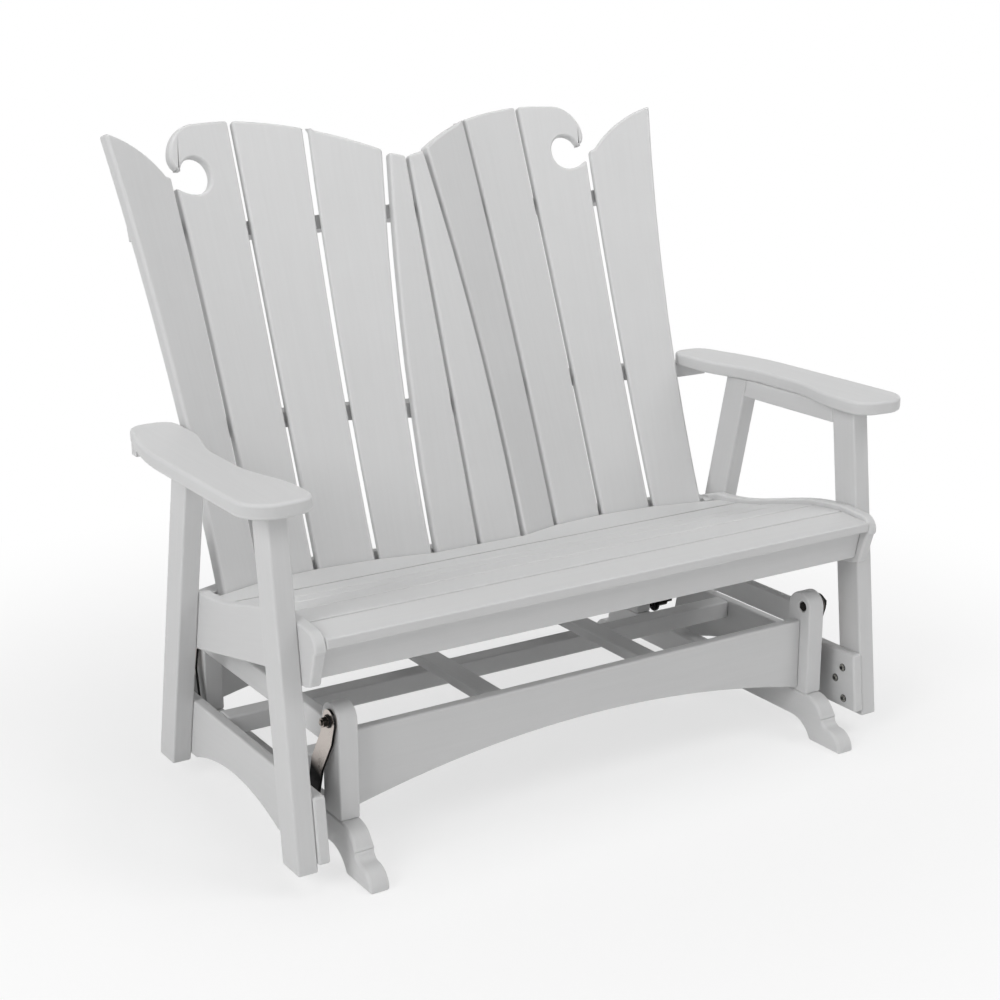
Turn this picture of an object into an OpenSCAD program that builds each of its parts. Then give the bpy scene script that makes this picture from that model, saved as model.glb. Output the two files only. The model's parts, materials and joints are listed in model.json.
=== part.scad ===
// Patio glider bench: a two-seat fan-back carriage that swings on four flat hangers from a low base.
// Millimetres. Front faces -Y, up is +Z, the floor is z = 0 and the bench is centred on x = 0.

/* [Boards] */
// Thickness of the legs, posts, foot rails and stretchers
leg_t = 38.1; // [32:0.1:44]
// Thickness of the rails, back slats and braces
board_t = 22.2; // [18:0.1:25]
// Thickness of the seat slats
slat_t = 19; // [15:0.5:22]
// Thickness of the arm boards
arm_t = 27; // [22:0.1:34]
// Clearance between boards that are screwed together at an angle
fit = 0.2; // [0.1:0.05:0.3]

/* [Base] */
// Width across the outer faces of the posts
base_w = 1097.2; // [1040:0.1:1130]
// Distance between the front and rear post centres
post_span = 572.8; // [540:0.1:600]
// Depth of each post from front to back
post_d = 63.5; // [56:0.5:70]
// Height of the rounded post tops
post_top = 304; // [296:1:320]
// Length of each foot rail from toe to toe
foot_len = 843.2; // [800:0.1:880]
// Height of the foot rails
foot_h = 93.3; // [86:0.1:98]
// Height of the gap under the foot rails
foot_gap = 37; // [30:1:44]
// Length of the pad under each toe
pad_len = 90; // [70:1:110]
// Distance of the front rail behind the front faces of the posts
rail_setback = 25.5; // [10:0.5:34]
// Distance of the rear rail ahead of the rear faces of the posts
rear_setback = 11; // [4:0.5:20]
// Height of the top edge of the front and rear rails
rail_top = 245.9; // [235:0.1:250]
// Height of the ends of the front and rear rails above the floor
rail_bottom = 100.2; // [98:0.1:115]
// Rise of the arch under the front and rear rails
rail_arch = 59.8; // [30:0.1:80]
// Height of the top edge of the side rails
side_rail_top = 270.3; // [255:0.1:275]
// Height of the side rails themselves
side_rail_h = 43.5; // [38:0.5:60]
// Distance of each cross member's centre from the middle of the bench
cross_x = 179; // [120:1:300]
// Width of the cross members
cross_w = 45; // [38:1:64]
// Height of the underside of the cross members
cross_z = 198; // [190:1:215]

/* [Hangers] */
// Length of each hanger between its pivots
hanger_len = 171; // [166:1:173]
// Lean of the front hangers from upright
front_hang = 17.7; // [14:0.1:19]
// Lean of the rear hangers from upright
rear_hang = 10.78; // [9:0.01:16]
// Height of the upper pivots
pivot_z = 275.5; // [270:0.5:280]
// Distance of the upper pivots outside the post centres
pivot_out = 8.5; // [4:0.5:11]
// Thickness of the hanger strap
strap_t = 5; // [4:0.5:6]
// Width of the strap at its upper eye
strap_w = 42; // [38:0.5:44]
// Width of the strap at its lower eye
strap_low_w = 38; // [34:0.5:42]
// Sideways step of the strap between its two bends
strap_step = 11; // [6:0.5:13]
// Diameter of the pivot bolts
bolt_d = 10; // [8:0.5:11]
// Diameter of the bushing sleeves
sleeve_d = 16; // [14:0.5:18]
// Diameter of the bushing flanges
flange_d = 24; // [21.5:0.5:26]
// Running clearance of the straps on the sleeves
run_fit = 0.06; // [0.03:0.01:0.1]
// Extra radius of the rear lower eyes, which lets the linkage close at the ends of its swing
eye_slack = 2; // [1.8:0.1:2.4]

/* [Carriage] */
// Distance of the legs' outer faces outside the outer faces of the posts
leg_room = 108.5; // [100:0.1:114]
// Height of the leg bottoms above the floor
leg_gap = 39.9; // [32:0.1:46]
// Front edge of the front leg at its bottom, ahead of the base centre
front_leg_y = 369.2; // [350:0.1:390]
// Width of the front legs
front_leg_w = 62; // [56:0.5:66]
// Backward lean of the front legs
front_lean = 6.54; // [4:0.01:8]
// Front edge of the rear leg at its bottom, behind the base centre
rear_leg_y = 173.5; // [160:0.1:190]
// Width of the rear legs
rear_leg_w = 63.5; // [58:0.5:68]
// Forward lean of the rear legs
rear_lean = 12.9; // [10:0.01:14]
// Height of the top edge of the lower side rails
low_rail_top = 172.5; // [165:0.5:178]
// Height of the bottom edge of the lower side rails
low_rail_bottom = 53; // [45:0.5:60]
// Height of the arch under the lower side rails at its crown
low_rail_crown = 87; // [70:1:92]
// Half of the arch's span
low_rail_span = 181; // [150:1:200]
// Overlap of the lower side rails past the legs
rail_past = 4; // [0:0.5:10]
// Depth of the stretchers
stretcher_d = 40; // [34:0.5:46]
// Centre of the front stretcher, ahead of the base centre
stretcher_front = 173.4; // [160:0.1:185]
// Centre of the rear stretcher, behind the base centre
stretcher_rear = 56.1; // [40:0.1:80]

/* [Seat] */
// Height of the crest of the seat's side rails
crest_z = 475; // [465:1:485]
// Crest of the seat, ahead of the base centre
crest_y = 305; // [295:1:315]
// Height of the level stretch of the side rails behind the seat's hollow
rear_rail_z = 407; // [400:1:412]
// Depth of the slat surface below the tops of the side rails
rail_lip = 10; // [6:0.5:14]
// Front face of the nose slat, ahead of the base centre
nose_y = 382; // [374:0.5:388]
// Width of the four middle seat slats
seat_slat_w = 76.2; // [70:0.1:78]
// Gap between seat slats
seat_gap = 5; // [3:0.5:8]
// Height of the apron under the nose slat
apron_h = 61; // [45:1:66]
// Backward slant of the apron
apron_slant = 11.7; // [5:0.1:16]
// Lower rear corner of the seat's side rails, behind the base centre
seat_rail_end = 198; // [190:1:210]

/* [Back] */
// Distance of the back's outer edges inside the outer faces of the legs at seat height
back_in_low = 93.8; // [86:0.1:100]
// Distance of the back's outer edges inside the outer faces of the legs at shoulder height
back_in_high = 39.6; // [32:0.1:46]
// Radius of each half of the back at seat height
back_r_low = 490; // [460:1:540]
// Radius of each half of the back at shoulder height
back_r_high = 537; // [500:1:580]
// Deepest point of the back at seat height, behind the base centre
back_y_low = 163.6; // [158:0.1:170]
// Deepest point of the back at shoulder height, behind the base centre
back_y_high = 468.4; // [455:0.1:480]
// Distance of the back's outer edges ahead of the lower arcs
wing_low = 12; // [0:0.5:16]
// Distance of the back's outer edges ahead of the upper arcs
wing_high = 8.5; // [0:0.5:12]
// Gap between back slats
back_gap = 8; // [6:0.5:10]
// Extra gap on each side of the pair of middle slats
ridge_gap = 3; // [2.5:0.5:5]
// Height of the lower ends of the back slats
back_bottom = 345; // [335:1:350]
// Height of the top of the dome
dome_top = 1221.4; // [1205:0.1:1235]
// Radius of the dome over each half of the back
dome_r = 864; // [800:1:930]
// Radius of the outside of each curl
curl_r = 65; // [62:0.5:70]
// Radius of the round cut-out inside each curl
eye_r = 34; // [30:0.5:36]
// Width of the braces behind the slats
brace_w = 38; // [32:1:46]
// Width of the brace that carries the rear ends of the arms
arm_brace_w = 48; // [40:1:54]
// Thickness of the two upper braces
brace_t = 28.6; // [24:0.1:34]
// Height of the top brace where it crosses the middle of the back
top_brace_z = 1022; // [980:1:1040]
// Rise of each half of the top brace from the middle outwards
top_brace_rise = 1.2; // [0:0.1:2]
// Distance of the top brace's ends inside the back's outer edges
top_brace_in = 32.5; // [24:0.5:40]
// Depth of the top brace's rear edge at its ends, behind the base centre
top_brace_rear = 430; // [415:1:440]
// Distance of the arm brace's ends outside the legs
arm_brace_past = 13; // [4:0.5:20]

/* [Arms] */
// Height of the top of the arms
arm_top = 695; // [680:1:710]
// Distance of the arms' outer edges outside the legs
arm_past = 59.9; // [50:0.1:68]
// Width of the arms at their front ends
arm_w = 129.5; // [126:0.5:138]
// Depth of the waist in the inner edge of the arms
arm_waist = 31; // [20:0.5:40]
// Front end of the arms, ahead of the base centre
arm_front = 361; // [350:1:372]
// Rear end of the arms, behind the base centre
arm_rear = 258; // [254:1:268]
// Height of the rails under the arms
arm_rail_h = 38.1; // [30:0.1:50]

/* [Hidden] */

// The origin lies on the floor under the middle of the whole bench, so the base sits ahead of it.
base_y = -47.15;
left = -1;
right = 1;
front = -1;
rear = 1;
smooth = 96;

post_out = base_w / 2;
post_in = post_out - leg_t;
post_y = post_span / 2;
post_face = post_y + post_d / 2;
front_rail_y = rail_setback - post_face;
rear_rail_face = post_face - rear_setback - board_t;
leg_out = post_out + leg_room;
leg_in = leg_out - leg_t;
rail_in = leg_in - board_t;
arm_under = arm_top - arm_t;
arm_out = leg_out + arm_past;
back_low = leg_out - back_in_low;
back_high = leg_out - back_in_high;

// Foot rail curves: shoulder, hollow above the toe, rounded toe and the hollow underneath
toe_run = 104;
shoulder_r = 50;
hollow_r = 18;
toe_r = 39.9;
under_run = 57;

// Pivots, as [y, z] in the base's own plane
upper_y = post_y + pivot_out;
front_low = [-upper_y + hanger_len * sin(front_hang), pivot_z - hanger_len * cos(front_hang)];
rear_low = [upper_y - hanger_len * sin(rear_hang), pivot_z - hanger_len * cos(rear_hang)];
bend_high = 38;
bend_low = 90;

// Distances from the middle along each pivot, from the post's face outwards
flange_t = 2;
side_play = 0.2;
strap_x = post_out + flange_t + 2 * side_play;
strap_low_x = strap_x + strap_step;
head_h = 6.5;
nut_h = 9;
washer_t = 1.5;
hex_d = 19.6;
counterbore_d = 20.5;
counterbore_h = 12;
bolt_fit = 0.1;
lag_h = 18;

// Bolts through each lower side rail into the front leg, as [distance behind the leg's edge, height]
leg_bolt_places = [[28.6, 138], [29, 73], [51, 110]];
leg_bolt_d = 13;
leg_bolt_h = 4;

// Seat joints: front edge of the nose slat, then every joint, then the edge behind the back
nose_w = 79;
seat_pitch = seat_slat_w + seat_gap;
seat_joint = [for (i = [0:4]) -nose_y + nose_w + seat_pitch * i];
nose_drop = 5.5;
rear_fall = 0.145;
seat_back_y = 172;
support_h = 40;

// Lower edge of the seat's side rails, as [distance behind the nose, depth below the crest]
seat_rail_foot = [[208, 126], [44, 110], [25, 104], [6, 44], [0, 38]];
rail_nose_r = 30;

// Rear end of the seat's side rails: where the level stretch starts to fall, by how much, and the raked end
rear_rail_y = 91;
rail_fall = 19;
rail_fall_y = 150;
rail_end_h = 135;
rail_belly_run = 98;
rail_belly_h = 117;

// Curl and outer slat outlines, seen from the front as [x, z] for the right half
dome_x = 0.6024 * back_high;
dome_c = [dome_x, dome_top - dome_r];
curl_turn = 3.4;
curl_c = dome_c + (dome_r - curl_r) * [sin(curl_turn), cos(curl_turn)];
tip_r = 29;
tip_turn = 8;
eye_c = curl_c + [16, -31.5];
lip_r = 75;
sweep_r = 259.6;
sweep_shift = [287.5, -185];
sweep_in = 19;
sweep_c = curl_c + sweep_shift;
outer_tip_x = back_high + 9.5;
valley_z = dome_top - 76.4;
valley_rise = 8;
low_z = 380;
high_z = dome_top - 71.4;

// Joints between the back slats at seat and shoulder height, from the middle outwards
joint_low = back_low * [0, 0.1882, 0.3817, 0.6071, 0.8237, 1];
joint_high = back_high * [0, 0.0729, 0.3077, 0.5466, 0.7882, 1];
arc_x_low = 0.6018 * back_low;
arc_x_high = 0.5457 * back_high;

// Points along an arc around c from angle a0 to a1
function arc(c, r, a0, a1, n = 10) =
    [for (i = [0:n]) c + r * [cos(a0 + (a1 - a0) * i / n), sin(a0 + (a1 - a0) * i / n)]];

function flip(points) = [for (i = [len(points) - 1:-1:0]) [-points[i][0], points[i][1]]];

// A smooth step from 0 to 1
function ease(t) = (1 - cos(180 * min(max(t, 0), 1))) / 2;

// Front edges of the legs at a height
function front_edge(z) = -front_leg_y + (z - leg_gap) * tan(front_lean);
function rear_edge(z) = rear_leg_y - (z - leg_gap) * tan(rear_lean);
front_run = front_leg_w / cos(front_lean);
rear_run = rear_leg_w / cos(rear_lean);

// Height of the side rails' top edge and of the slat surface at a depth
function rail_z(y) = crest_z - (crest_z - rear_rail_z) * ease((y + crest_y) / (rear_rail_y + crest_y));
function seat_z(y) = rail_z(y) - rail_lip;
seat_end_z = seat_z(seat_joint[4]) - rear_fall * (seat_back_y - seat_joint[4]);

// Back joints: x at a height, and y on the two arcs that the slats follow
function joint_x(i, z) =
    joint_low[i] + (joint_high[i] - joint_low[i]) * pow(max(z - low_z, 0) / (high_z - low_z), 2);
function bow(x, c, r) = r - sqrt(r * r - (x - c) * (x - c));
function low_y(x) = back_y_low - bow(x, arc_x_low, back_r_low);
function high_y(x) = back_y_high - bow(x, arc_x_high, back_r_high);

// Each back slat lies in one plane: its turn about z, its lean and a point on its front face
function low_end(i) = [joint_low[i], low_y(joint_low[max(i, 1)]) - (i == 5 ? wing_low : 0)];
function high_end(i) = [joint_high[i], high_y(joint_high[max(i, 1)]) - (i == 5 ? wing_high : 0)];
function heading(a, b) = atan2(b[1] - a[1], b[0] - a[0]);
function turn(i) =
    i == 0 ? 0 : (heading(low_end(i), low_end(i + 1)) + heading(high_end(i), high_end(i + 1))) / 2;
function foot(i) = (low_end(i) + low_end(i + 1)) / 2;
function rise(i) = (high_end(i) + high_end(i + 1)) / 2 - foot(i);
function lean(i) = atan2(rise(i)[1] * cos(turn(i)) - rise(i)[0] * sin(turn(i)), high_z - low_z);

// A front-view point [x, z] as [across, along] on slat i's face
function on_slat(i, p) =
    let (dx = p[0] - foot(i)[0], dz = p[1] - low_z, a = turn(i), b = lean(i))
    let (dy = (sin(b) * dz + sin(a) * cos(b) * dx) / (cos(a) * cos(b)))
    [dx * cos(a) + dy * sin(a), -dx * sin(a) * sin(b) + dy * cos(a) * sin(b) + dz * cos(b)];

// Top outlines of the five slats of the right half, in the front view from inside to outside
function dome_z(x) = dome_c[1] + sqrt(dome_r * dome_r - (x - dome_c[0]) * (x - dome_c[0]));
function dome(i) = [for (k = [0:4]) let (x = joint_x(i, high_z) + side_gap(i) +
    (joint_x(i + 1, high_z) - side_gap(i + 1) - joint_x(i, high_z) - side_gap(i)) * k / 4) [x, dome_z(x)]];
function side_gap(i) = back_gap / 2 + (i == 1 ? ridge_gap / 2 : 0);
valley = [[side_gap(0), valley_z], [joint_high[1] - side_gap(1), valley_z + valley_rise]];
curl_x = joint_x(3, high_z) + back_gap / 2;
mouth_x = joint_x(4, eye_c[1]) - back_gap / 2;
lip_c = eye_c + [0, lip_r - eye_r];
lip_a = -90 + asin((mouth_x - lip_c[0]) / lip_r);
tip_c = curl_c + (curl_r - tip_r) * [cos(tip_turn), sin(tip_turn)];
curl = concat(
    [for (k = [0:3]) let (x = curl_x + (dome_c[0] - curl_x) * k / 3) [x, dome_z(x)]],
    arc(curl_c, curl_r, 90 - curl_turn, tip_turn, 12),
    arc(tip_c, tip_r, tip_turn, -58, 6),
    arc(eye_c, eye_r, 20, 270, 20),
    arc(lip_c, lip_r, -88, lip_a, 4)
);
sweep_x = joint_x(4, sweep_c[1]) + back_gap / 2;
sweep_a = acos((sweep_x + sweep_in - sweep_c[0]) / sweep_r);
outer_tip_a = acos((outer_tip_x - sweep_c[0]) / sweep_r);
sweep = arc(sweep_c, sweep_r, sweep_a, outer_tip_a, 12);
tops = [valley, dome(1), dome(2), curl, sweep];

// Side edges of slat i from its bottom up to a height
function edge(i, side, z1) = [for (k = [0:8]) let (z = back_bottom + (z1 - back_bottom) * k / 8)
    [joint_x(i, z) + side * (i == 5 ? 0 : side_gap(i)), z]];
function last(v) = v[len(v) - 1];
function slat_outline(i) = [for (p = concat(
    edge(i, 1, tops[i][0][1] - 3),
    tops[i],
    flip_order(edge(i + 1, -1, last(tops[i])[1] - 3))
)) on_slat(i, p)];
function flip_order(v) = [for (k = [len(v) - 1:-1:0]) v[k]];

// Arm outline, as [x, y] for the right arm
arm_in = arm_out - arm_w;
arm_taper = 30;
arm_corner = 60;
arm_heel = 40;
arm_heel_in = 34;
arm_nose = 40;
arm_tuck = 4;
taper_start = 8;
taper_end = arm_rear - 58;
waist_rear = arm_rear - 100;
waist_deep = -12;
waist_rise = -112;
waist_front = 81 - arm_front;
arm_points = concat(
    [for (k = [0:6])
        [arm_out - arm_taper * pow(k / 6, 2), taper_start + (taper_end - taper_start) * k / 6]],
    arc([arm_out - arm_taper - arm_heel - arm_tuck, arm_rear - arm_heel], arm_heel, 10, 90, 6),
    arc([arm_in + arm_heel_in, arm_rear - arm_heel_in], arm_heel_in, 90, 180, 6),
    [for (k = [0:8]) [arm_in + arm_waist * ease(k / 8), waist_rear + (waist_deep - waist_rear) * k / 8]],
    [for (k = [0:8])
        [arm_in + arm_waist * (1 - ease(k / 8)), waist_rise + (waist_front - waist_rise) * k / 8]],
    arc([arm_in + arm_nose, -arm_front + arm_nose + arm_tuck], arm_nose, 180, 262, 6),
    arc([arm_out - arm_corner, -arm_front + arm_corner], arm_corner, 275, 360, 6)
);

// Moves a child that is drawn about the base's centre to its place in the bench
module placed() translate([0, base_y, 0]) children();

// Mirrors a child that is drawn for the right half
module on_side(side) mirror([side == left ? 1 : 0, 0, 0]) children();

// Extrudes a [y, z] outline along x, or an [x, z] outline along y
module side_board(x, t) translate([x, 0, 0]) rotate([90, 0, 90]) linear_extrude(t) children();
module front_board(y, t) translate([0, y + t, 0]) rotate([90, 0, 0]) linear_extrude(t) children();

// A cylinder along x from x0 to x1
module rod(x0, x1, d, sides = smooth)
    translate([x0, 0, 0]) rotate([0, 90, 0]) cylinder(h = x1 - x0, d = d, $fn = sides);

module foot_rail(side) {
    half = foot_len / 2;
    under_r = (under_run * under_run + foot_gap * foot_gap) / (2 * foot_gap);
    under_a = atan2(under_r - foot_gap, under_run);
    toe = concat(
        arc([-half + toe_run, foot_h - shoulder_r], shoulder_r, 90, 165),
        arc([-half + toe_r - 2.9, toe_r - 0.5 + hollow_r], hollow_r, -3, -90, 6),
        arc([-half + toe_r, 0], toe_r, 99, 180),
        arc([-half + pad_len + under_run, foot_gap - under_r], under_r, 180 - under_a, 90)
    );
    color("gainsboro") placed() on_side(side) side_board(post_in, leg_t) polygon(concat(toe, flip(toe)));
}

module post(side, end) {
    color("gainsboro") placed() on_side(side) difference() {
        translate([post_in, end * post_y - post_d / 2, foot_h]) union() {
            cube([leg_t, post_d, post_top - post_d / 2 - foot_h]);
            translate([0, post_d / 2, post_top - post_d / 2 - foot_h]) rod(0, leg_t, post_d);
        }
        translate([0, end * upper_y, pivot_z]) {
            rod(post_in - 1, post_out + 1, bolt_d + 2 * bolt_fit);
            rod(post_in - 1, post_in + counterbore_h, counterbore_d);
        }
    }
}

module base_rail(end) {
    arch_r = (post_in * post_in + rail_arch * rail_arch) / (2 * rail_arch);
    y = end == front ? front_rail_y : rear_rail_face;
    color("gainsboro") placed() front_board(y, board_t) difference() {
        translate([-post_in, rail_bottom]) square([2 * post_in, rail_top - rail_bottom]);
        translate([0, rail_bottom + rail_arch - arch_r]) circle(r = arch_r, $fn = 480);
    }
}

module base_side_rail(side) {
    run = post_span - post_d;
    color("gainsboro") placed() on_side(side)
        translate([post_out - board_t, -run / 2, side_rail_top - side_rail_h])
        cube([board_t, run, side_rail_h]);
}

module cross_member(side) {
    start = front_rail_y + board_t;
    color("gainsboro") placed() on_side(side)
        translate([cross_x - cross_w / 2, start, cross_z]) cube([cross_w, rear_rail_face - start, board_t]);
}

// Repeats a child at the four upper or the four lower pivots, drawn for the right half
module at_upper_pivots() {
    for (side = [left, right], end = [front, rear])
        placed() on_side(side) translate([0, end * upper_y, pivot_z]) children();
}

module at_lower_pivots() {
    for (side = [left, right], p = [front_low, rear_low])
        placed() on_side(side) translate([0, p[0], p[1]]) children();
}

module base_bolts() {
    nut_end = strap_x + strap_t + side_play + flange_t + washer_t + nut_h;
    color("silver") at_upper_pivots() union() {
        rod(post_in + counterbore_h, nut_end + 3, bolt_d);
        rod(post_in + counterbore_h - head_h, post_in + counterbore_h, hex_d, 6);
    }
}

// Two flanged halves that meet inside the eye of a strap that starts at x
module bushing_pair(x) {
    middle = x + strap_t / 2;
    for (way = [0, 1]) translate([way * 2 * middle, 0, 0]) mirror([way, 0, 0]) difference() {
        union() {
            rod(x - side_play - flange_t, x - side_play, flange_d);
            rod(x - side_play - flange_t, middle - 0.05, sleeve_d);
        }
        rod(x - side_play - flange_t - 1, middle + 1, bolt_d + 2 * bolt_fit);
    }
}

module base_bushings() color([0.1, 0.1, 0.1]) at_upper_pivots() bushing_pair(strap_x);

module base_nuts() {
    start = strap_x + strap_t + side_play + flange_t;
    color("silver") at_upper_pivots() difference() {
        union() {
            rod(start, start + washer_t, hex_d - 1);
            rod(start + washer_t, start + washer_t + nut_h, hex_d - 1, 6);
        }
        rod(start - 1, start + washer_t + nut_h + 1, bolt_d + 2 * bolt_fit);
    }
}

// A flat strap with two bends, drawn hanging straight down from its upper pivot and then leaned
module hanger(side, end) {
    a = end == front ? front_hang : -rear_hang;
    slack = end == front ? 0 : eye_slack;
    reach = strap_w;
    color("silver") placed() on_side(side) translate([0, end * upper_y, pivot_z]) rotate([a, 0, 0])
    difference() {
        intersection() {
            union() {
                rod(0, leg_in, strap_w);
                translate([0, 0, -hanger_len]) rod(0, leg_in, strap_low_w);
                side_board(0, leg_in) polygon([
                    [-strap_w / 2, 0], [strap_w / 2, 0],
                    [strap_low_w / 2, -hanger_len], [-strap_low_w / 2, -hanger_len]
                ]);
            }
            front_board(-reach, 2 * reach) polygon([
                [strap_x, reach], [strap_x, -bend_high], [strap_low_x, -bend_low],
                [strap_low_x, -hanger_len - reach], [strap_low_x + strap_t, -hanger_len - reach],
                [strap_low_x + strap_t, -bend_low], [strap_x + strap_t, -bend_high],
                [strap_x + strap_t, reach]
            ]);
        }
        rod(0, leg_in, sleeve_d + 2 * run_fit);
        translate([0, 0, -hanger_len]) rod(0, leg_in, sleeve_d + 2 * (run_fit + slack));
    }
}

module front_leg(side) {
    color("gainsboro") placed() on_side(side) side_board(leg_in, leg_t) polygon([
        [front_edge(leg_gap), leg_gap], [front_edge(leg_gap) + front_run, leg_gap],
        [front_edge(arm_under) + front_run, arm_under], [front_edge(arm_under), arm_under]
    ]);
}

module rear_leg(side) {
    color("gainsboro") placed() on_side(side) side_board(leg_in, leg_t) polygon([
        [rear_edge(leg_gap), leg_gap], [rear_edge(leg_gap) + rear_run, leg_gap],
        [rear_edge(arm_under) + rear_run, arm_under], [rear_edge(arm_under), arm_under]
    ]);
}

module lower_rail(side) {
    rise = low_rail_crown - low_rail_bottom;
    arch_r = (low_rail_span * low_rail_span + rise * rise) / (2 * rise);
    color("gainsboro") placed() on_side(side) difference() {
        side_board(rail_in, board_t) difference() {
            polygon([
                [front_edge(low_rail_bottom) - rail_past, low_rail_bottom],
                [rear_edge(low_rail_bottom) + rear_run + rail_past, low_rail_bottom],
                [rear_edge(low_rail_top) + rear_run + rail_past, low_rail_top],
                [front_edge(low_rail_top) - rail_past, low_rail_top]
            ]);
            translate([-30, low_rail_crown - arch_r]) circle(r = arch_r, $fn = 240);
        }
        for (p = [front_low, rear_low])
            translate([0, p[0], p[1]]) rod(rail_in - 1, rail_in + lag_h, bolt_d + 2 * bolt_fit);
    }
}

module stretcher(y) {
    color("gainsboro") placed()
        translate([-rail_in, y - stretcher_d / 2, low_rail_top - leg_t])
        cube([2 * rail_in, stretcher_d, leg_t]);
}

module seat_rail(side) {
    nose_c = [-nose_y + rail_nose_r, crest_z - rail_nose_r - 4];
    color("gainsboro") placed() on_side(side) side_board(rail_in, board_t) polygon(concat(
        [for (k = [0:14]) let (y = -crest_y + (rear_rail_y + crest_y) * k / 14) [y, rail_z(y)]],
        [[rail_fall_y, rear_rail_z - rail_fall], [seat_rail_end, rear_rail_z - rail_end_h],
            [seat_rail_end - rail_belly_run, rear_rail_z - rail_belly_h]],
        [for (p = seat_rail_foot) [p[0] - nose_y, crest_z - p[1]]],
        arc(nose_c, rail_nose_r, 180, 95, 8)
    ));
}

// A board whose top edge runs from point a to point b, with a thickness t below it
module plank(a, b, t) {
    run = norm(b - a);
    translate(a) rotate(heading(a, b)) translate([0, -t]) square([run, t]);
}

module seat_board(a, b)
    color("gainsboro") placed() side_board(-rail_in + fit, 2 * (rail_in - fit)) plank(a, b, slat_t);

function seat_point(y) = [y, seat_z(y)];

module seat_nose()
    seat_board([-nose_y, seat_z(seat_joint[0]) - nose_drop], seat_point(seat_joint[0] - seat_gap / 2));

module seat_slat(i)
    seat_board(seat_point(seat_joint[i - 1] + seat_gap / 2), seat_point(seat_joint[i] - seat_gap / 2));

// Underside corners of the nose slat, the middle slats and the rear board, for what carries them
function below(a, b, t) =
    let (h = heading(a, b)) [a + t * [sin(h), -cos(h)], b + t * [sin(h), -cos(h)]];
carried = concat(
    below([-nose_y, seat_z(seat_joint[0]) - nose_drop], seat_point(seat_joint[0] - seat_gap / 2), slat_t + fit),
    [for (i = [0:3]) each below(seat_point(seat_joint[i] + seat_gap / 2),
        seat_point(seat_joint[i + 1] - seat_gap / 2), slat_t + fit)],
    below(seat_point(seat_joint[4] + seat_gap / 2), [seat_back_y, seat_end_z], slat_t + fit)
);

apron_top_y = -nose_y + 21;

module seat_support(x) {
    start = apron_top_y + board_t / cos(apron_slant) + (apron_h - 10) * tan(apron_slant) + fit;
    stop = 108;
    top = [for (p = carried) if (p[0] > start && p[0] < stop) p];
    floor_z = [for (p = top) p - [0, support_h]];
    color("gainsboro") placed() side_board(x, board_t) polygon(concat(top, flip_order(floor_z)));
}

module seat_apron() {
    top_z = seat_z(seat_joint[0]) - nose_drop - slat_t - 0.5;
    shift = apron_h * tan(apron_slant);
    color("gainsboro") placed() side_board(-rail_in + fit, 2 * (rail_in - fit))
        translate([apron_top_y, top_z - apron_h])
        polygon([[shift, 0], [shift + board_t, 0], [board_t, apron_h], [0, apron_h]]);
}

// Depth and half height of the spaces that trim what meets the back, and how far they pass its joints
trim_far = 200;
trim_high = 1000;
trim_past = 3;

// How far the untrimmed braces start ahead of the back's rear face
brace_ahead = 12;

// How far across slat i its joint j lies at each of some heights
function across(i, j, heights) = [for (z = heights) on_slat(i, [joint_x(j, z), z])[0]];

// The space behind or ahead of slat i's face that trims what meets that slat between two heights
module slat_space(i, heights, from_y, deep, high, past = trim_past) {
    low = min(across(i, i, heights)) - trim_past;
    out = max(across(i, i + 1, heights)) + (i == 4 ? past : trim_past);
    translate([foot(i)[0], foot(i)[1], low_z]) rotate([0, 0, turn(i)]) rotate([-lean(i), 0, 0])
        translate([low, from_y, -high]) cube([out - low, deep, 2 * high]);
}

module seat_rear_board() {
    color("gainsboro") placed() difference() {
        side_board(-rail_in + fit, 2 * (rail_in - fit))
            plank(seat_point(seat_joint[4] + seat_gap / 2), [seat_back_y, seat_end_z], slat_t);
        for (side = [left, right], i = [0:4]) on_side(side)
            slat_space(i, [back_bottom, rear_rail_z], -trim_past, trim_far, trim_far, rail_in - back_low);
    }
}

// Slats are numbered from the left end of the back to the right end
module back_slat(n) {
    side = n <= 5 ? left : right;
    i = n <= 5 ? 5 - n : n - 6;
    color("gainsboro") placed() on_side(side)
        translate([foot(i)[0], foot(i)[1], low_z]) rotate([0, 0, turn(i)]) rotate([-lean(i), 0, 0])
        front_board(0, board_t) polygon(slat_outline(i));
}

// Rear face of the back at a joint and a height, in the plan view, where the slats' lean adds to their depth
lean_share = 1.08;
function behind(i, z) =
    let (k = (z - low_z) / (high_z - low_z), p = low_end(i) + (high_end(i) - low_end(i)) * k)
    [joint_x(i, z), p[1] + board_t * lean_share];

// Half of a brace that follows the back at height z and ends at x = l, from depth end[0] to depth end[1]
module brace_half(z, l, t, w, end) {
    inner = [for (i = [1:5]) behind(i, z)];
    outer = last(inner);
    ahead = [0, -brace_ahead];
    front_side = concat(
        [[-brace_ahead / 2, inner[0][1]] + ahead],
        [for (i = [0:3]) inner[i] + ahead],
        l > outer[0] ? [outer + ahead, [outer[0] + brace_ahead, end[0]], [l, end[0]]] :
            [[l, outer[1] - brace_ahead]]
    );
    rear_side = concat(
        [[-brace_ahead / 2, inner[0][1] + w]],
        [for (i = [0:3]) inner[i] + [0, w]],
        [[l, end[1]]]
    );
    linear_extrude(t) polygon(concat(front_side, flip_order(rear_side)));
}

module brace_band(z, l, t, w, end) for (side = [left, right]) on_side(side) brace_half(z, l, t, w, end);

// Cuts away what a brace between two heights has in common with the slats and the space ahead of them
module trimmed_brace(heights) {
    color("gainsboro") placed() difference() {
        children();
        for (side = [left, right], i = [0:4]) on_side(side)
            slat_space(i, heights, -trim_far, trim_far + board_t + fit, trim_high);
    }
}

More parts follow.
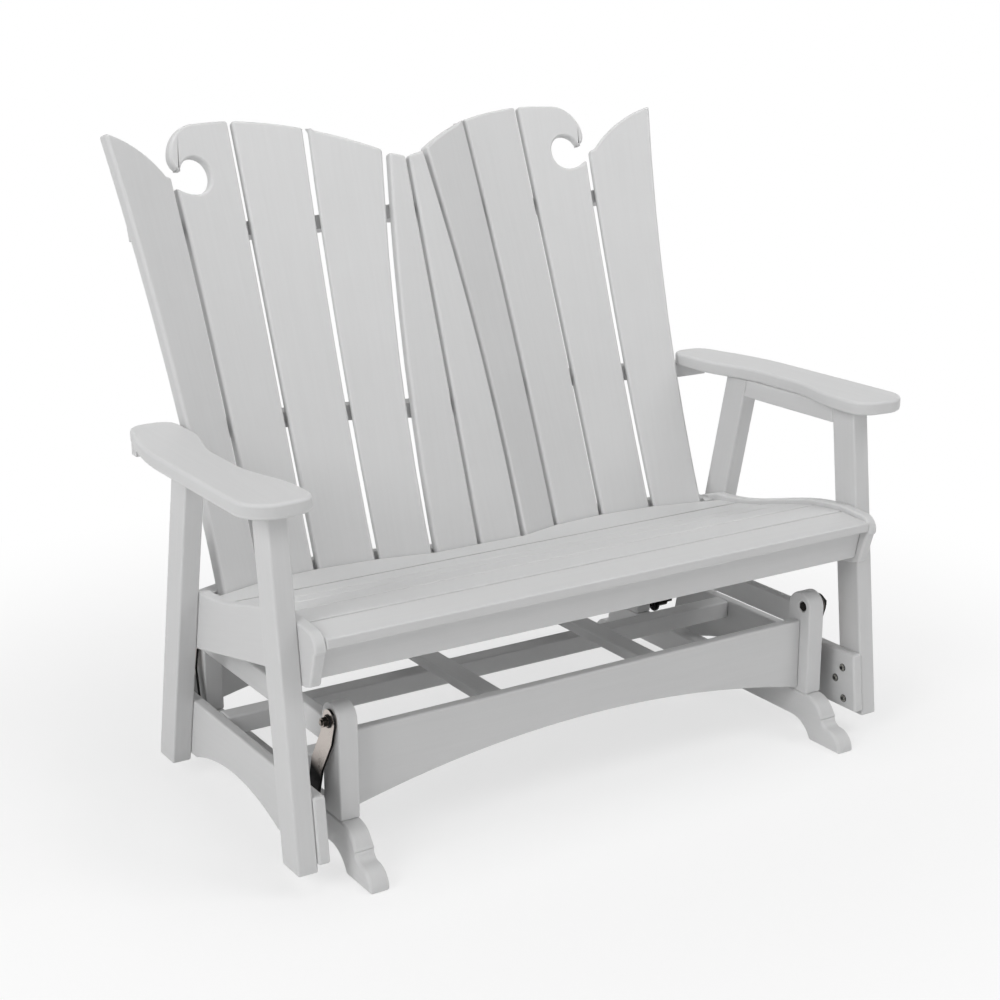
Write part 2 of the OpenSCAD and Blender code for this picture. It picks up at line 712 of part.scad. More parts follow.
module back_brace_arm() {
    z = arm_under - brace_t;
    stop = arm_rear - 2;
    trimmed_brace([z, arm_under]) translate([0, 0, z])
        brace_band(z, leg_out + arm_brace_past, brace_t, arm_brace_w, [stop - board_t, stop]);
}

module back_brace_seat() {
    z = low_z - 26;
    t = leg_t - 2;
    y = behind(5, z)[1];
    trimmed_brace([z, z + t]) translate([0, 0, z])
        brace_band(z, rail_in - fit, t, brace_w, [y - brace_ahead, y + brace_w]);
}

module back_brace_top() {
    a = lean(2);
    y = behind(1, top_brace_z)[1];
    trimmed_brace([top_brace_z - brace_w, top_brace_z + brace_w])
        translate([0, y, top_brace_z]) rotate([-a, 0, 0]) for (side = [left, right]) on_side(side)
        rotate([0, -top_brace_rise, 0]) translate([0, -y, 0])
        brace_half(top_brace_z, back_high - top_brace_in, brace_t, brace_w, [0, top_brace_rear]);
}

module arm(side)
    color("gainsboro") placed() on_side(side)
    translate([0, 0, arm_under]) linear_extrude(arm_t) polygon(arm_points);

module arm_rail(side) {
    z = arm_under - arm_rail_h;
    color("gainsboro") placed() on_side(side) side_board(leg_in, board_t) polygon([
        [front_edge(z) + front_run, z], [rear_edge(z), z],
        [rear_edge(arm_under), arm_under], [front_edge(arm_under) + front_run, arm_under]
    ]);
}

module carriage_bolts() {
    start = strap_low_x - side_play - flange_t;
    color("silver") at_lower_pivots() union() {
        rod(start - head_h, start, hex_d - 1, 6);
        rod(start, rail_in + lag_h - 1, bolt_d);
    }
}

module carriage_bushings() color([0.1, 0.1, 0.1]) at_lower_pivots() bushing_pair(strap_low_x);

module carriage_spacers() {
    start = strap_low_x + strap_t + side_play + flange_t;
    color("silver") at_lower_pivots() difference() {
        rod(start, rail_in, flange_d - 4);
        rod(start - 1, rail_in + 1, bolt_d + 2 * bolt_fit);
    }
}

module leg_bolts() {
    color([0.1, 0.1, 0.1]) for (side = [left, right], p = leg_bolt_places)
        placed() on_side(side) translate([0, front_edge(p[1]) + p[0], p[1]])
        rod(rail_in - leg_bolt_h, rail_in, leg_bolt_d);
}

foot_rail(left);  // foot_rail_left
foot_rail(right);  // foot_rail_right
post(left, front);  // post_front_left
post(right, front);  // post_front_right
post(left, rear);  // post_rear_left
post(right, rear);  // post_rear_right
base_rail(front);  // base_rail_front
base_rail(rear);  // base_rail_rear
base_side_rail(left);  // base_rail_left
base_side_rail(right);  // base_rail_right
cross_member(left);  // cross_member_left
cross_member(right);  // cross_member_right
base_bolts();
base_bushings();
base_nuts();
hanger(left, front);  // hanger_front_left
hanger(right, front);  // hanger_front_right
hanger(left, rear);  // hanger_rear_left
hanger(right, rear);  // hanger_rear_right
front_leg(left);  // leg_front_left
front_leg(right);  // leg_front_right
rear_leg(left);  // leg_rear_left
rear_leg(right);  // leg_rear_right
lower_rail(left);  // lower_rail_left
lower_rail(right);  // lower_rail_right
stretcher(-stretcher_front);
stretcher(stretcher_rear);
seat_rail(left);  // seat_rail_left
seat_rail(right);  // seat_rail_right
seat_apron();
seat_support(-rail_in + fit);  // seat_support_left
seat_support(-board_t / 2);  // seat_support_middle
seat_support(rail_in - board_t - fit);  // seat_support_right
seat_nose();
seat_slat(1);  // seat_slat_1
seat_slat(2);  // seat_slat_2
seat_slat(3);  // seat_slat_3
seat_slat(4);  // seat_slat_4
seat_rear_board();
back_slat(1);  // back_slat_1
back_slat(2);  // back_slat_2
back_slat(3);  // back_slat_3
back_slat(4);  // back_slat_4
back_slat(5);  // back_slat_5
back_slat(6);  // back_slat_6
back_slat(7);  // back_slat_7
back_slat(8);  // back_slat_8
back_slat(9);  // back_slat_9
back_slat(10);  // back_slat_10
back_brace_top();
back_brace_arm();
back_brace_seat();
arm(left);  // arm_left
arm(right);  // arm_right
arm_rail(left);  // arm_rail_left
arm_rail(right);  // arm_rail_right
carriage_bolts();
carriage_bushings();
carriage_spacers();
leg_bolts();
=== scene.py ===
import json
import math

import bmesh
import bpy
import numpy as np
from mathutils import Matrix, Vector


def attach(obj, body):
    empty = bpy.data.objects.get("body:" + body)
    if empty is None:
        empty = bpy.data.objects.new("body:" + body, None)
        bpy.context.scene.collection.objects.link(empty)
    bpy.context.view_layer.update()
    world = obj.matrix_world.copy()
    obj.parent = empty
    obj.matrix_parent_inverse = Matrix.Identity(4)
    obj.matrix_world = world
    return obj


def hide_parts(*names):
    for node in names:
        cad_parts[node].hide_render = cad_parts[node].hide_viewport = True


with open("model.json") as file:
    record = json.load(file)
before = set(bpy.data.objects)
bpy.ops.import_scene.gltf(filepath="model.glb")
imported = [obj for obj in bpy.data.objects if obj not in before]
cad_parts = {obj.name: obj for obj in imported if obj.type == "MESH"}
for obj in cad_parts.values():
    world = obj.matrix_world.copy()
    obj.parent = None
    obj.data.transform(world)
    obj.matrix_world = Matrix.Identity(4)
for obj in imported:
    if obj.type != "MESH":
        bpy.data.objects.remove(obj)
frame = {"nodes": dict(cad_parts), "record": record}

scene = bpy.context.scene
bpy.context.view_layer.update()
body_of = {n: b for b, ns in frame["record"]["behaviour"]["bodies"].items() for n in ns}


# ---------- node helpers ----------

WHITE = (1.0, 1.0, 1.0, 1.0)
EVEN = (1.0, 1.0, 1.0)            # a pattern that isn't stretched
PATTERN_SPREAD = (37.0, 19.0, 53.0)   # how far the pattern shifts from piece to piece


def new_material(name):
    """An empty node material with its output and shader joined."""
    mat = bpy.data.materials.new(name)
    mat.use_nodes = True
    tree = mat.node_tree
    tree.nodes.clear()
    out = tree.nodes.new("ShaderNodeOutputMaterial")
    shader = tree.nodes.new("ShaderNodeBsdfPrincipled")
    tree.links.new(shader.outputs["BSDF"], out.inputs["Surface"])
    return mat, tree, shader


def stretched(tree, scale, vary=True):
    """Coordinates along the piece's length, times scale. With vary, each piece has its own."""
    coord = tree.nodes.new("ShaderNodeTexCoord")
    mapping = tree.nodes.new("ShaderNodeMapping")
    mapping.inputs["Scale"].default_value = scale
    tree.links.new(coord.outputs["Object"], mapping.inputs["Vector"])
    if not vary:
        return mapping.outputs["Vector"]
    info = tree.nodes.new("ShaderNodeObjectInfo")
    spread = tree.nodes.new("ShaderNodeVectorMath")
    spread.operation = "SCALE"
    spread.inputs[0].default_value = PATTERN_SPREAD
    tree.links.new(info.outputs["Random"], spread.inputs["Scale"])
    tree.links.new(spread.outputs["Vector"], mapping.inputs["Location"])
    return mapping.outputs["Vector"]


def noise(tree, vector, scale, detail, rough):
    node = tree.nodes.new("ShaderNodeTexNoise")
    node.inputs["Scale"].default_value = scale
    node.inputs["Detail"].default_value = detail
    node.inputs["Roughness"].default_value = rough
    tree.links.new(vector, node.inputs["Vector"])
    return node.outputs["Fac"]


def attribute(tree, name):
    """The value that the mesh code left on the piece under this name."""
    node = tree.nodes.new("ShaderNodeAttribute")
    node.attribute_name = name
    return node.outputs["Fac"]


def ramp(tree, fac, low, high, low_at=0.3, high_at=0.7):
    """Runs from the colour or value low to high as fac goes from low_at to high_at."""
    node = tree.nodes.new("ShaderNodeValToRGB")
    for stop, at, colour in zip(node.color_ramp.elements, (low_at, high_at), (low, high)):
        stop.position = at
        stop.color = (*colour, 1.0) if hasattr(colour, "__len__") else (colour,) * 3 + (1.0,)
    tree.links.new(fac, node.inputs["Fac"])
    return node.outputs["Color"]


def mixed(tree, fac, a, b):
    """Colour a where fac is 0 and colour b where it is 1."""
    node = tree.nodes.new("ShaderNodeMix")
    node.data_type = "RGBA"
    if isinstance(fac, float):
        node.inputs["Factor"].default_value = fac
    else:
        tree.links.new(fac, node.inputs["Factor"])
    tree.links.new(a, node.inputs["A"])
    tree.links.new(b, node.inputs["B"])
    return node.outputs["Result"]


def maths(tree, operation, *values):
    """A maths node on sockets and numbers."""
    node = tree.nodes.new("ShaderNodeMath")
    node.operation = operation
    for socket, value in zip(node.inputs, values):
        if isinstance(value, float):
            socket.default_value = value
        else:
            tree.links.new(value, socket)
    return node.outputs[0]


def mapped(tree, value, from_min, from_max, to_min, to_max, interpolation="LINEAR"):
    """Carries value from one range to the other and holds it at the ends."""
    node = tree.nodes.new("ShaderNodeMapRange")
    node.interpolation_type = interpolation
    node.inputs["From Min"].default_value = from_min
    node.inputs["From Max"].default_value = from_max
    node.inputs["To Min"].default_value = to_min
    node.inputs["To Max"].default_value = to_max
    tree.links.new(value, node.inputs["Value"])
    return node.outputs["Result"]


def bumped(tree, shader, layers):
    """Chains bump nodes, one for each (height, strength, distance in metres)."""
    normal = None
    for height, strength, distance in layers:
        node = tree.nodes.new("ShaderNodeBump")
        node.inputs["Strength"].default_value = strength
        node.inputs["Distance"].default_value = distance
        tree.links.new(height, node.inputs["Height"])
        if normal is not None:
            tree.links.new(normal, node.inputs["Normal"])
        normal = node.outputs["Normal"]
    tree.links.new(normal, shader.inputs["Normal"])


# ---------- materials ----------

# The mesh code gives faces an "edge" value of 1 on rounded lumber edges, on the cut edges of
# straps, on the sides and inner ends of bolts and on what is black of the screw heads. It carries
# painted light: a painted highlight on the lumber's rounded edges, painted shade and painted dark
# reflection on the metal, and painted shade in the screw sockets. "along" is the distance in
# metres from the piece's far end, which is the upper end of a strap; it places the strap's
# painted dark reflection below the lower bend.

def lumber_material():
    """Light grey moulded lumber: a faint lengthwise drag, a fine pebble and satin patches, lighter
    on the rounded edges as a painted highlight.
    """
    mat, tree, shader = new_material("moulded_lumber")
    drag = noise(tree, stretched(tree, (1.2, 34.0, 34.0)), 4.0, 5.0, 0.6)
    cloud = noise(tree, stretched(tree, EVEN), 7.0, 2.0, 0.5)
    pebble = noise(tree, stretched(tree, EVEN, vary=False), 900.0, 2.0, 0.5)
    streaks = ramp(tree, drag, (0.602, 0.603, 0.604), (0.634, 0.635, 0.636))
    clouds = ramp(tree, cloud, (0.608, 0.609, 0.610), (0.632, 0.633, 0.634))
    # Painted highlight: the rounded edges are mixed halfway towards this lighter grey.
    painted_edge_highlight = tree.nodes.new("ShaderNodeRGB")
    painted_edge_highlight.outputs[0].default_value = (0.672, 0.673, 0.674, 1.0)
    edge_highlight_share = maths(tree, "MULTIPLY", attribute(tree, "edge"), 0.5)
    tone = mixed(tree, edge_highlight_share, mixed(tree, 0.5, streaks, clouds), painted_edge_highlight.outputs[0])
    tree.links.new(tone, shader.inputs["Base Color"])
    tree.links.new(ramp(tree, cloud, 0.46, 0.56), shader.inputs["Roughness"])
    shader.inputs["Specular IOR Level"].default_value = 0.35
    bumped(tree, shader, [(drag, 0.10, 0.0006), (pebble, 0.08, 0.0003)])
    return mat


def strap_material():
    """Nickel-plated strap, brushed lengthwise, black on its cut edges as painted shade and below
    its lower bend as a painted dark reflection.
    """
    mat, tree, shader = new_material("nickel_strap")
    brushed = noise(tree, stretched(tree, (3.0, 260.0, 260.0)), 5.0, 4.0, 0.6)
    cloud = noise(tree, stretched(tree, EVEN), 30.0, 3.0, 0.5)
    lines = ramp(tree, brushed, (0.52, 0.472, 0.437), (0.66, 0.605, 0.566))
    tarnish = ramp(tree, cloud, (0.52, 0.470, 0.433), (0.65, 0.597, 0.558))
    black = ramp(tree, brushed, (0.010, 0.010, 0.010), (0.022, 0.022, 0.022))
    # Painted dark reflection: black from 108 to 128 mm below the upper end onwards; the cut edges
    # add painted shade.
    painted_dark_reflection = ramp(tree, attribute(tree, "along"), 0.0, 1.0, 0.108, 0.128)
    dark = maths(tree, "MAXIMUM", painted_dark_reflection, attribute(tree, "edge"))
    tone = mixed(tree, dark, mixed(tree, 0.5, lines, tarnish), black)
    tree.links.new(tone, shader.inputs["Base Color"])
    tree.links.new(ramp(tree, cloud, 0.24, 0.40), shader.inputs["Roughness"])
    shader.inputs["Metallic"].default_value = 1.0
    bumped(tree, shader, [(brushed, 0.15, 0.0002)])
    return mat


def fastener_material():
    """Bronzed steel of bolts, nuts and spacers: plain bronze on the ends, black round the sides
    and on the inner half of bolts as painted dark reflection and painted shade.
    """
    mat, tree, shader = new_material("bronzed_steel")
    cloud = noise(tree, stretched(tree, EVEN), 240.0, 3.0, 0.6)
    face = ramp(tree, cloud, (0.10, 0.09, 0.082), (0.50, 0.44, 0.40), 0.36, 0.60)
    # Painted dark reflection and painted shade: near black where mark_metal set the mask.
    side = ramp(tree, cloud, (0.012, 0.011, 0.010), (0.050, 0.046, 0.041), 0.4, 0.8)
    tree.links.new(mixed(tree, attribute(tree, "edge"), face, side), shader.inputs["Base Color"])
    tree.links.new(ramp(tree, cloud, 0.28, 0.46), shader.inputs["Roughness"])
    shader.inputs["Metallic"].default_value = 1.0
    bumped(tree, shader, [(cloud, 0.12, 0.0002)])
    return mat


def bushing_material():
    """Black nylon of the bushings, with a dull moulded skin."""
    mat, tree, shader = new_material("black_nylon")
    grain = noise(tree, stretched(tree, EVEN), 700.0, 3.0, 0.6)
    tone = ramp(tree, grain, (0.014, 0.014, 0.015), (0.028, 0.028, 0.029))
    tree.links.new(tone, shader.inputs["Base Color"])
    tree.links.new(ramp(tree, grain, 0.48, 0.66), shader.inputs["Roughness"])
    shader.inputs["Specular IOR Level"].default_value = 0.2
    bumped(tree, shader, [(grain, 0.2, 0.0002)])
    return mat


def black_bolt_material():
    """Black-coated screw heads, lighter on the dome as a painted highlight, black on the flange
    and black in the socket as painted shade.
    """
    mat, tree, shader = new_material("black_bolt")
    mottle = noise(tree, stretched(tree, EVEN), 260.0, 4.0, 0.65)
    # Painted highlight: the dome is lighter than the black coat.
    dome = ramp(tree, mottle, (0.08, 0.079, 0.070), (0.27, 0.266, 0.24), 0.40, 0.60)
    coat = ramp(tree, mottle, (0.012, 0.012, 0.013), (0.030, 0.030, 0.031), 0.4, 0.8)
    tree.links.new(mixed(tree, attribute(tree, "edge"), dome, coat), shader.inputs["Base Color"])
    tree.links.new(ramp(tree, mottle, 0.32, 0.52), shader.inputs["Roughness"])
    shader.inputs["Coat Weight"].default_value = 0.15
    bumped(tree, shader, [(mottle, 0.15, 0.0002)])
    return mat


looks = {
    "lumber": lumber_material(),
    "strap_steel": strap_material(),
    "fastener_steel": fastener_material(),
    "bushing": bushing_material(),
    "black_bolt": black_bolt_material(),
}


# ---------- pieces ----------

WELD = 0.00001                    # metres within which two vertices are one
FLAT = 0.0015                     # radians: faces that turn less than this are joined
SPECK = 0.00005                   # metres: shorter edges are dropped
SHARP = math.radians(28.0)        # edges that turn more than this are rounded
HOLE_EDGE = 0.0012                # metres: shorter lumber edges are the rims of drilled holes
CORNER_ROOM = 1.8                 # radii of room that a rounded corner takes
CORNER_ROUNDS = 12                # times that joints by the corners are looked for
END_LEVEL = 0.0005                # metres within which vertices share a bolt's end face
LOWER_LEVEL = 0.001               # metres within which vertices share a rail's lower edge
SIDE_NORMAL = 0.75                # metal faces with less x in their normal are cut edges


def welded(node):
    """The CAD node's mesh, with the vertices of neighbouring faces joined."""
    bm = bmesh.new()
    bm.from_mesh(frame["nodes"][node].data)
    bmesh.ops.remove_doubles(bm, verts=bm.verts, dist=WELD)
    return bm


def local_frame(bm):
    """A frame at the piece's centre, with x along its greatest spread and y along the next."""
    points = np.array([f.calc_center_median() for f in bm.faces], float)
    areas = np.array([f.calc_area() for f in bm.faces], float)
    centre = np.average(points, axis=0, weights=areas)
    spread = (points - centre) * areas[:, None]
    _, vectors = np.linalg.eigh(spread.T @ (points - centre))
    x, y = vectors[:, 2], vectors[:, 1]
    x = x * (1 if x[np.argmax(np.abs(x))] > 0 else -1)
    y = y * (1 if y[np.argmax(np.abs(y))] > 0 else -1)
    turn = np.column_stack((x, y, np.cross(x, y)))
    return Matrix.Translation(Vector(centre)) @ Matrix(turn.tolist()).to_4x4()


def turned(edge, limit):
    """True for an edge where two faces meet at more than limit."""
    return len(edge.link_faces) == 2 and edge.calc_face_angle(0.0) > limit


def sharp_edges_at(vert):
    return sum(turned(e, SHARP) for e in vert.link_edges)


def clear_corners(bm, reach):
    """Takes out a curve's shallow joints within reach of a sharp corner, which makes room for
    the corner's rounding."""
    for _ in range(CORNER_ROUNDS):
        joints = set()
        for e in bm.edges:
            if e.calc_length() > reach or not turned(e, SHARP):
                continue
            for v, corner in (e.verts, (e.verts[1], e.verts[0])):
                smooth = len(v.link_edges) == 3 and sharp_edges_at(v) == 2
                if smooth and sharp_edges_at(corner) >= 3:
                    joints.update(k for k in v.link_edges if not turned(k, SHARP))
        if not joints:
            return
        in_order = sorted(joints, key=lambda k: k.index)
        bmesh.ops.dissolve_edges(bm, edges=in_order, use_verts=True)
        bm.edges.index_update()


def move_ends(bm, head_out):
    """Takes the inner end face of bolts towards the middle of the bench."""
    face_x = min(abs(v.co.x) for v in bm.verts)
    for v in bm.verts:
        if abs(v.co.x) < face_x + END_LEVEL:
            v.co.x -= math.copysign(head_out, v.co.x)


def lower_edge(bm, lower_by):
    """Takes the lower edge of a rail down."""
    bottom = min(v.co.z for v in bm.verts)
    for v in bm.verts:
        if v.co.z < bottom + LOWER_LEVEL:
            v.co.z -= lower_by


def mark_metal(bm, mark, bolts):
    """Marks the cut edges of a small part or strap, and of bolts the inner half too, for their
    painted shade and painted dark reflection.
    """
    reach_x = [abs(v.co.x) for v in bm.verts]
    middle_x = (min(reach_x) + max(reach_x)) / 2
    for face in bm.faces:
        inner = bolts and abs(face.calc_center_median().x) < middle_x
        face[mark] = 1.0 if abs(face.normal.x) < SIDE_NORMAL or inner else 0.0


def stand_in(node, slot, bm, place, even_normals):
    """Makes the object that stands for a CAD node, with its frame at place."""
    mesh = bpy.data.meshes.new(node + "_finished")
    bm.to_mesh(mesh)
    bm.free()
    piece = bpy.data.objects.new(node + "_finished", mesh)
    scene.collection.objects.link(piece)
    piece.matrix_world = place
    if even_normals:
        piece.modifiers.new("even_normals", "WEIGHTED_NORMAL").keep_sharp = True
    mesh.materials.append(looks[slot])
    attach(piece, body_of[node])
    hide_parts(node)


def finished(node, slot, radius, segments=3, crease=35.0, clamp=True,
             lower_by=0.0, head_out=0.0, narrow=1.0):
    """A copy of a CAD node with rounded edges, in a local frame that lies along the piece.

    Edges that turn more than crease, in degrees, stay sharp in the shading. narrow scales the
    width about the outer edge.
    """
    bm = welded(node)
    bmesh.ops.dissolve_limit(bm, angle_limit=FLAT, verts=bm.verts, edges=bm.edges)
    bmesh.ops.dissolve_degenerate(bm, dist=SPECK, edges=bm.edges)
    lumber = slot == "lumber"
    if lumber and not node.startswith("back_brace"):
        bm.edges.index_update()
        clear_corners(bm, CORNER_ROOM * radius)
    if head_out:
        move_ends(bm, head_out)
    if lower_by:
        lower_edge(bm, lower_by)

    shortest = HOLE_EDGE if lumber else 0.0
    edges = [e for e in bm.edges if turned(e, SHARP) and e.calc_length() > shortest]
    mark = bm.faces.layers.float.new("edge")
    made = bmesh.ops.bevel(bm, geom=edges, offset=radius, segments=segments, profile=0.5,
                           affect="EDGES", clamp_overlap=clamp, offset_type="OFFSET")
    # Rounded faces take the painted edge highlight on lumber; on metal, mark_metal sets the mask
    # again.
    for face in made["faces"]:
        face[mark] = 1.0
    if not lumber:
        mark_metal(bm, mark, bolts=node.endswith("bolts"))

    place = local_frame(bm)
    bm.transform(place.inverted())
    if narrow != 1.0:
        outer_y = max(bm.verts, key=lambda v: abs((place @ v.co).x)).co.y
        for v in bm.verts:
            v.co.y = outer_y + (v.co.y - outer_y) * narrow
    # Distance from the upper end, which places a strap's painted dark reflection below its lower
    # bend.
    along = bm.verts.layers.float.new("along")
    far_end = max(v.co.x for v in bm.verts)
    for v in bm.verts:
        v[along] = far_end - v.co.x
    for face in bm.faces:
        face.smooth = True
    for e in bm.edges:
        e.smooth = not turned(e, math.radians(crease))
    stand_in(node, slot, bm, place, even_normals=True)


SCREW_STEPS = 48                  # points round a screw head
SCREW_GROWTH = 1.25               # visual head over CAD head, across
SCREW_CREASE = math.radians(40.0)  # screw edges that turn less than this are shaded smooth
# Each ring of a head: share of its radius, share of its height, and whether it is hexagonal.
FLANGE = [(1.0, 0.0, False), (1.0, 0.20, False), (0.96, 0.28, False), (0.88, 0.32, False)]
DOME = [(0.84, 0.55, False), (0.76, 0.80, False), (0.60, 0.95, False), (0.44, 1.0, False)]
SOCKET = [(0.34, 1.0, True), (0.33, 0.94, True), (0.33, 0.45, True)]


def hexagon(angle):
    """Distance from the centre of a hexagon to its side, as a share of its corner radius."""
    sixth = math.pi / 3
    return math.cos(sixth / 2) / math.cos((angle + sixth / 2) % sixth - sixth / 2)


def separate_boxes(bm):
    """The lowest and highest corner of each loose part of the mesh, from left to right."""
    boxes, left_over = [], set(bm.verts)
    while left_over:
        part, ahead = [], [left_over.pop()]
        while ahead:
            v = ahead.pop()
            part.append(v.co)
            fresh = {e.other_vert(v) for e in v.link_edges} & left_over
            left_over -= fresh
            ahead.extend(fresh)
        points = np.array(part)
        boxes.append((points.min(axis=0), points.max(axis=0)))
    return sorted(boxes, key=lambda box: (box[0][0], box[0][2]))


def screw_head(shape, mark, low, high, middle):
    """Adds one head, with its foot on the rail and its socket towards the middle of the bench."""
    c = (low + high) / 2 - middle
    radius, height = SCREW_GROWTH * (high[1] - low[1]) / 2, high[0] - low[0]
    way = -1.0 if low[0] > 0 else 1.0
    foot = c[0] - way * height / 2
    last = None
    for share, rise, hexed in FLANGE + DOME + SOCKET:
        ring = []
        for k in range(SCREW_STEPS):
            a = 2 * math.pi * k / SCREW_STEPS
            r = radius * share * (hexagon(a) if hexed else 1.0)
            ring.append(shape.verts.new((foot + way * rise * height,
                                         c[1] + r * math.cos(a), c[2] + r * math.sin(a))))
        if last is None:
            made = [shape.faces.new(ring)]
        else:
            made = [shape.faces.new((last[k - 1], last[k], ring[k], ring[k - 1]))
                    for k in range(SCREW_STEPS)]
        for face in made:
            # The dome carries the painted highlight; the flange is the black coat, and the
            # socket's black is painted shade.
            face[mark] = 0.0 if (share, rise, hexed) in DOME else 1.0
        last = ring
    shape.faces.new(last)[mark] = 1.0


def screw_heads(node, slot):
    """Round heads with a flange, a low dome and a hexagonal socket, for the node's discs."""
    bm = welded(node)
    boxes = separate_boxes(bm)
    bm.free()
    middle = np.mean([(low + high) / 2 for low, high in boxes], axis=0)
    shape = bmesh.new()
    mark = shape.faces.layers.float.new("edge")
    for low, high in boxes:
        screw_head(shape, mark, low, high, middle)
    bmesh.ops.recalc_face_normals(shape, faces=shape.faces)
    for face in shape.faces:
        face.smooth = True
    for e in shape.edges:
        e.smooth = e.calc_face_angle(0.0) < SCREW_CREASE
    stand_in(node, slot, shape, Matrix.Translation(Vector(middle)), even_normals=False)


# Slot and rounding radius, in metres, of the small parts.
SMALL = {
    "base_bolts": ("fastener_steel", 0.0007),
    "base_nuts": ("fastener_steel", 0.0006),
    "carriage_bolts": ("fastener_steel", 0.0007),
    "carriage_spacers": ("fastener_steel", 0.0005),
    "base_bushings": ("bushing", 0.0005),
    "carriage_bushings": ("bushing", 0.0005),
}
STRAP_RADIUS = 0.0009
# Rounding of the lumber, by the start of the node's name. The first match counts.
LUMBER = [
    ("arm_rail", dict(radius=0.0042)),
    ("arm_", dict(radius=0.006, segments=4)),
    ("seat_slat", dict(radius=0.0028)),
    ("seat_nose", dict(radius=0.0028)),
    ("back_slat", dict(radius=0.0058, segments=4, clamp=False)),
    ("foot_rail", dict(radius=0.0050, segments=4, crease=75.0, clamp=False)),
    ("post", dict(radius=0.0034)),
    ("", dict(radius=0.0042)),
]
# What the photograph shows beyond the CAD node, in metres or as a share.
ADJUSTED = {
    "back_slat_4": dict(narrow=0.983),
    "back_slat_7": dict(narrow=0.983),
    "base_rail_left": dict(lower_by=0.006),
    "base_rail_right": dict(lower_by=0.006),
    "base_bolts": dict(head_out=0.0042),
}

for node in sorted(frame["nodes"]):
    extra = ADJUSTED.get(node, {})
    if node in SMALL:
        finished(node, *SMALL[node], segments=2, **extra)
    elif node == "leg_bolts":
        screw_heads(node, "black_bolt")
    elif node.startswith("hanger"):
        finished(node, "strap_steel", STRAP_RADIUS, segments=2)
    else:
        rounding = next(r for start, r in LUMBER if node.startswith(start))
        finished(node, "lumber", **rounding, **extra)


# ---------- floor and world ----------

FLOOR_RADIUS = 14.0
FLOOR_DROP = 0.0003               # metres that the floor lies below the feet
FLOOR_GREY = (0.92, 0.92, 0.92, 1.0)
SHADOW_ENDS = (0.7, 1.9)          # metres from the middle between which the shadow fades out
GLOW_ENDS = (0.66, 1.0)           # share of plain white there
WALL_HEIGHT, WALL_LIGHT = 0.6, 0.94     # the walls' upper end and their light at eye level
BACK_REACH, BACK_LIGHT = 0.8, 0.30      # what the wall behind the bench adds


def white_to_the_eye(tree):
    """1 for camera, mirror and glass rays, which see the white background."""
    path = tree.nodes.new("ShaderNodeLightPath")
    total = path.outputs["Is Camera Ray"]
    for other in ("Is Glossy Ray", "Is Transmission Ray"):
        total = maths(tree, "MAXIMUM", total, path.outputs[other])
    return total


def floor_material():
    """A pale floor that keeps the shadow near the bench and fades into white further out."""
    mat = bpy.data.materials.new("pale_floor")
    mat.use_nodes = True
    tree = mat.node_tree
    tree.nodes.clear()
    out = tree.nodes.new("ShaderNodeOutputMaterial")
    matt = tree.nodes.new("ShaderNodeBsdfDiffuse")
    matt.inputs["Color"].default_value = FLOOR_GREY
    glow = tree.nodes.new("ShaderNodeEmission")
    glow.inputs["Color"].default_value = WHITE
    glow.inputs["Strength"].default_value = 1.0
    coord = tree.nodes.new("ShaderNodeTexCoord")
    reach = tree.nodes.new("ShaderNodeVectorMath")
    reach.operation = "LENGTH"
    tree.links.new(coord.outputs["Object"], reach.inputs[0])
    fade = mapped(tree, reach.outputs["Value"], *SHADOW_ENDS, *GLOW_ENDS, "SMOOTHSTEP")
    both = tree.nodes.new("ShaderNodeMixShader")
    tree.links.new(maths(tree, "MULTIPLY", fade, white_to_the_eye(tree)), both.inputs["Fac"])
    tree.links.new(matt.outputs["BSDF"], both.inputs[1])
    tree.links.new(glow.outputs["Emission"], both.inputs[2])
    tree.links.new(both.outputs["Shader"], out.inputs["Surface"])
    return mat


bm = bmesh.new()
bmesh.ops.create_circle(bm, cap_ends=True, segments=96, radius=FLOOR_RADIUS)
floor_mesh = bpy.data.meshes.new("floor")
bm.to_mesh(floor_mesh)
bm.free()
floor = bpy.data.objects.new("floor", floor_mesh)
floor_mesh.materials.append(floor_material())
scene.collection.objects.link(floor)
floor.location = (0.0, 0.0, -FLOOR_DROP)


def studio_walls(tree):
    """Strength of the room's light: bright at eye level, more behind the bench, none overhead."""
    coord = tree.nodes.new("ShaderNodeTexCoord")
    part = tree.nodes.new("ShaderNodeSeparateXYZ")
    tree.links.new(coord.outputs["Generated"], part.inputs[0])
    height = maths(tree, "ABSOLUTE", part.outputs["Z"])
    walls = mapped(tree, height, 0.0, WALL_HEIGHT, WALL_LIGHT, 0.0)
    back = mapped(tree, part.outputs["Y"], 0.0, BACK_REACH, 0.0, BACK_LIGHT)
    return maths(tree, "ADD", walls, back)


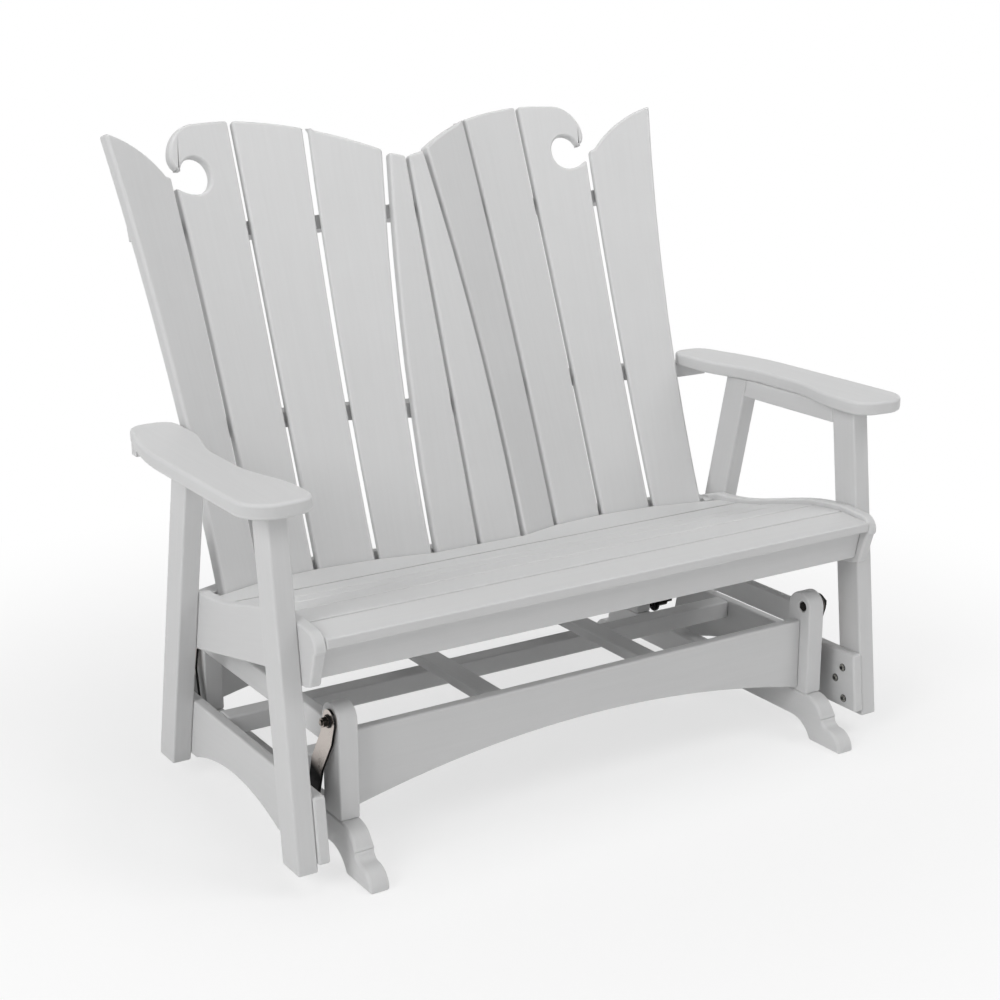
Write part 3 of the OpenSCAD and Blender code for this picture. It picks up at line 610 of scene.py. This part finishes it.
world = bpy.data.worlds.new("studio")
scene.world = world
world.use_nodes = True
tree = world.node_tree
tree.nodes.clear()
world_out = tree.nodes.new("ShaderNodeOutputWorld")
around = tree.nodes.new("ShaderNodeBackground")
around.inputs["Color"].default_value = WHITE
tree.links.new(studio_walls(tree), around.inputs["Strength"])
backdrop = tree.nodes.new("ShaderNodeBackground")
backdrop.inputs["Color"].default_value = WHITE
backdrop.inputs["Strength"].default_value = 1.0
pick = tree.nodes.new("ShaderNodeMixShader")
tree.links.new(white_to_the_eye(tree), pick.inputs["Fac"])
tree.links.new(around.outputs["Background"], pick.inputs[1])
tree.links.new(backdrop.outputs["Background"], pick.inputs[2])
tree.links.new(pick.outputs["Shader"], world_out.inputs["Surface"])


# ---------- lamps and camera ----------

LAMP_TARGET = (0.0, 0.0, 0.6)     # the middle of the bench


def soft_light(name, place, size, watts):
    """A round lamp of this size in metres that looks at the bench."""
    data = bpy.data.lights.new(name, "AREA")
    data.shape = "DISK"
    data.size = size
    data.energy = watts
    lamp = bpy.data.objects.new(name, data)
    scene.collection.objects.link(lamp)
    lamp.location = place
    lamp.rotation_mode = "QUATERNION"
    lamp.rotation_quaternion = (Vector(LAMP_TARGET) - Vector(place)).to_track_quat("-Z", "Y")


soft_light("left", (-8.14, -2.96, 5.6), 5.4, 400.0)
soft_light("right", (5.0, -5.0, 7.67), 5.4, 279.0)
soft_light("top", (0.0, -0.17, 5.4), 2.6, 81.0)

# The camera as solved from the photograph.
FOCAL_PX, PICTURE_PX = 1802.7, 1000.0
SENSOR_MM = 36.0
CAMERA_PLACE = (-1.83138, -2.90119, 1.49912)
CAMERA_RIGHT = Vector((0.84406559, -0.53623549, -0.00218648))
CAMERA_UP = Vector((0.15224289, 0.23572546, 0.95982061))
CAMERA_AHEAD = Vector((0.51417447, 0.81048442, -0.28060579))

lens = bpy.data.cameras.new("camera")
lens.sensor_fit = "HORIZONTAL"
lens.sensor_width = SENSOR_MM
lens.lens = FOCAL_PX / PICTURE_PX * SENSOR_MM
lens.clip_start, lens.clip_end = 0.05, 60.0
camera = bpy.data.objects.new("camera", lens)
scene.collection.objects.link(camera)
turn = Matrix((CAMERA_RIGHT, CAMERA_UP, -CAMERA_AHEAD)).transposed().to_4x4()
camera.matrix_world = Matrix.Translation(CAMERA_PLACE) @ turn
scene.camera = camera

scene.view_settings.view_transform = "Standard"
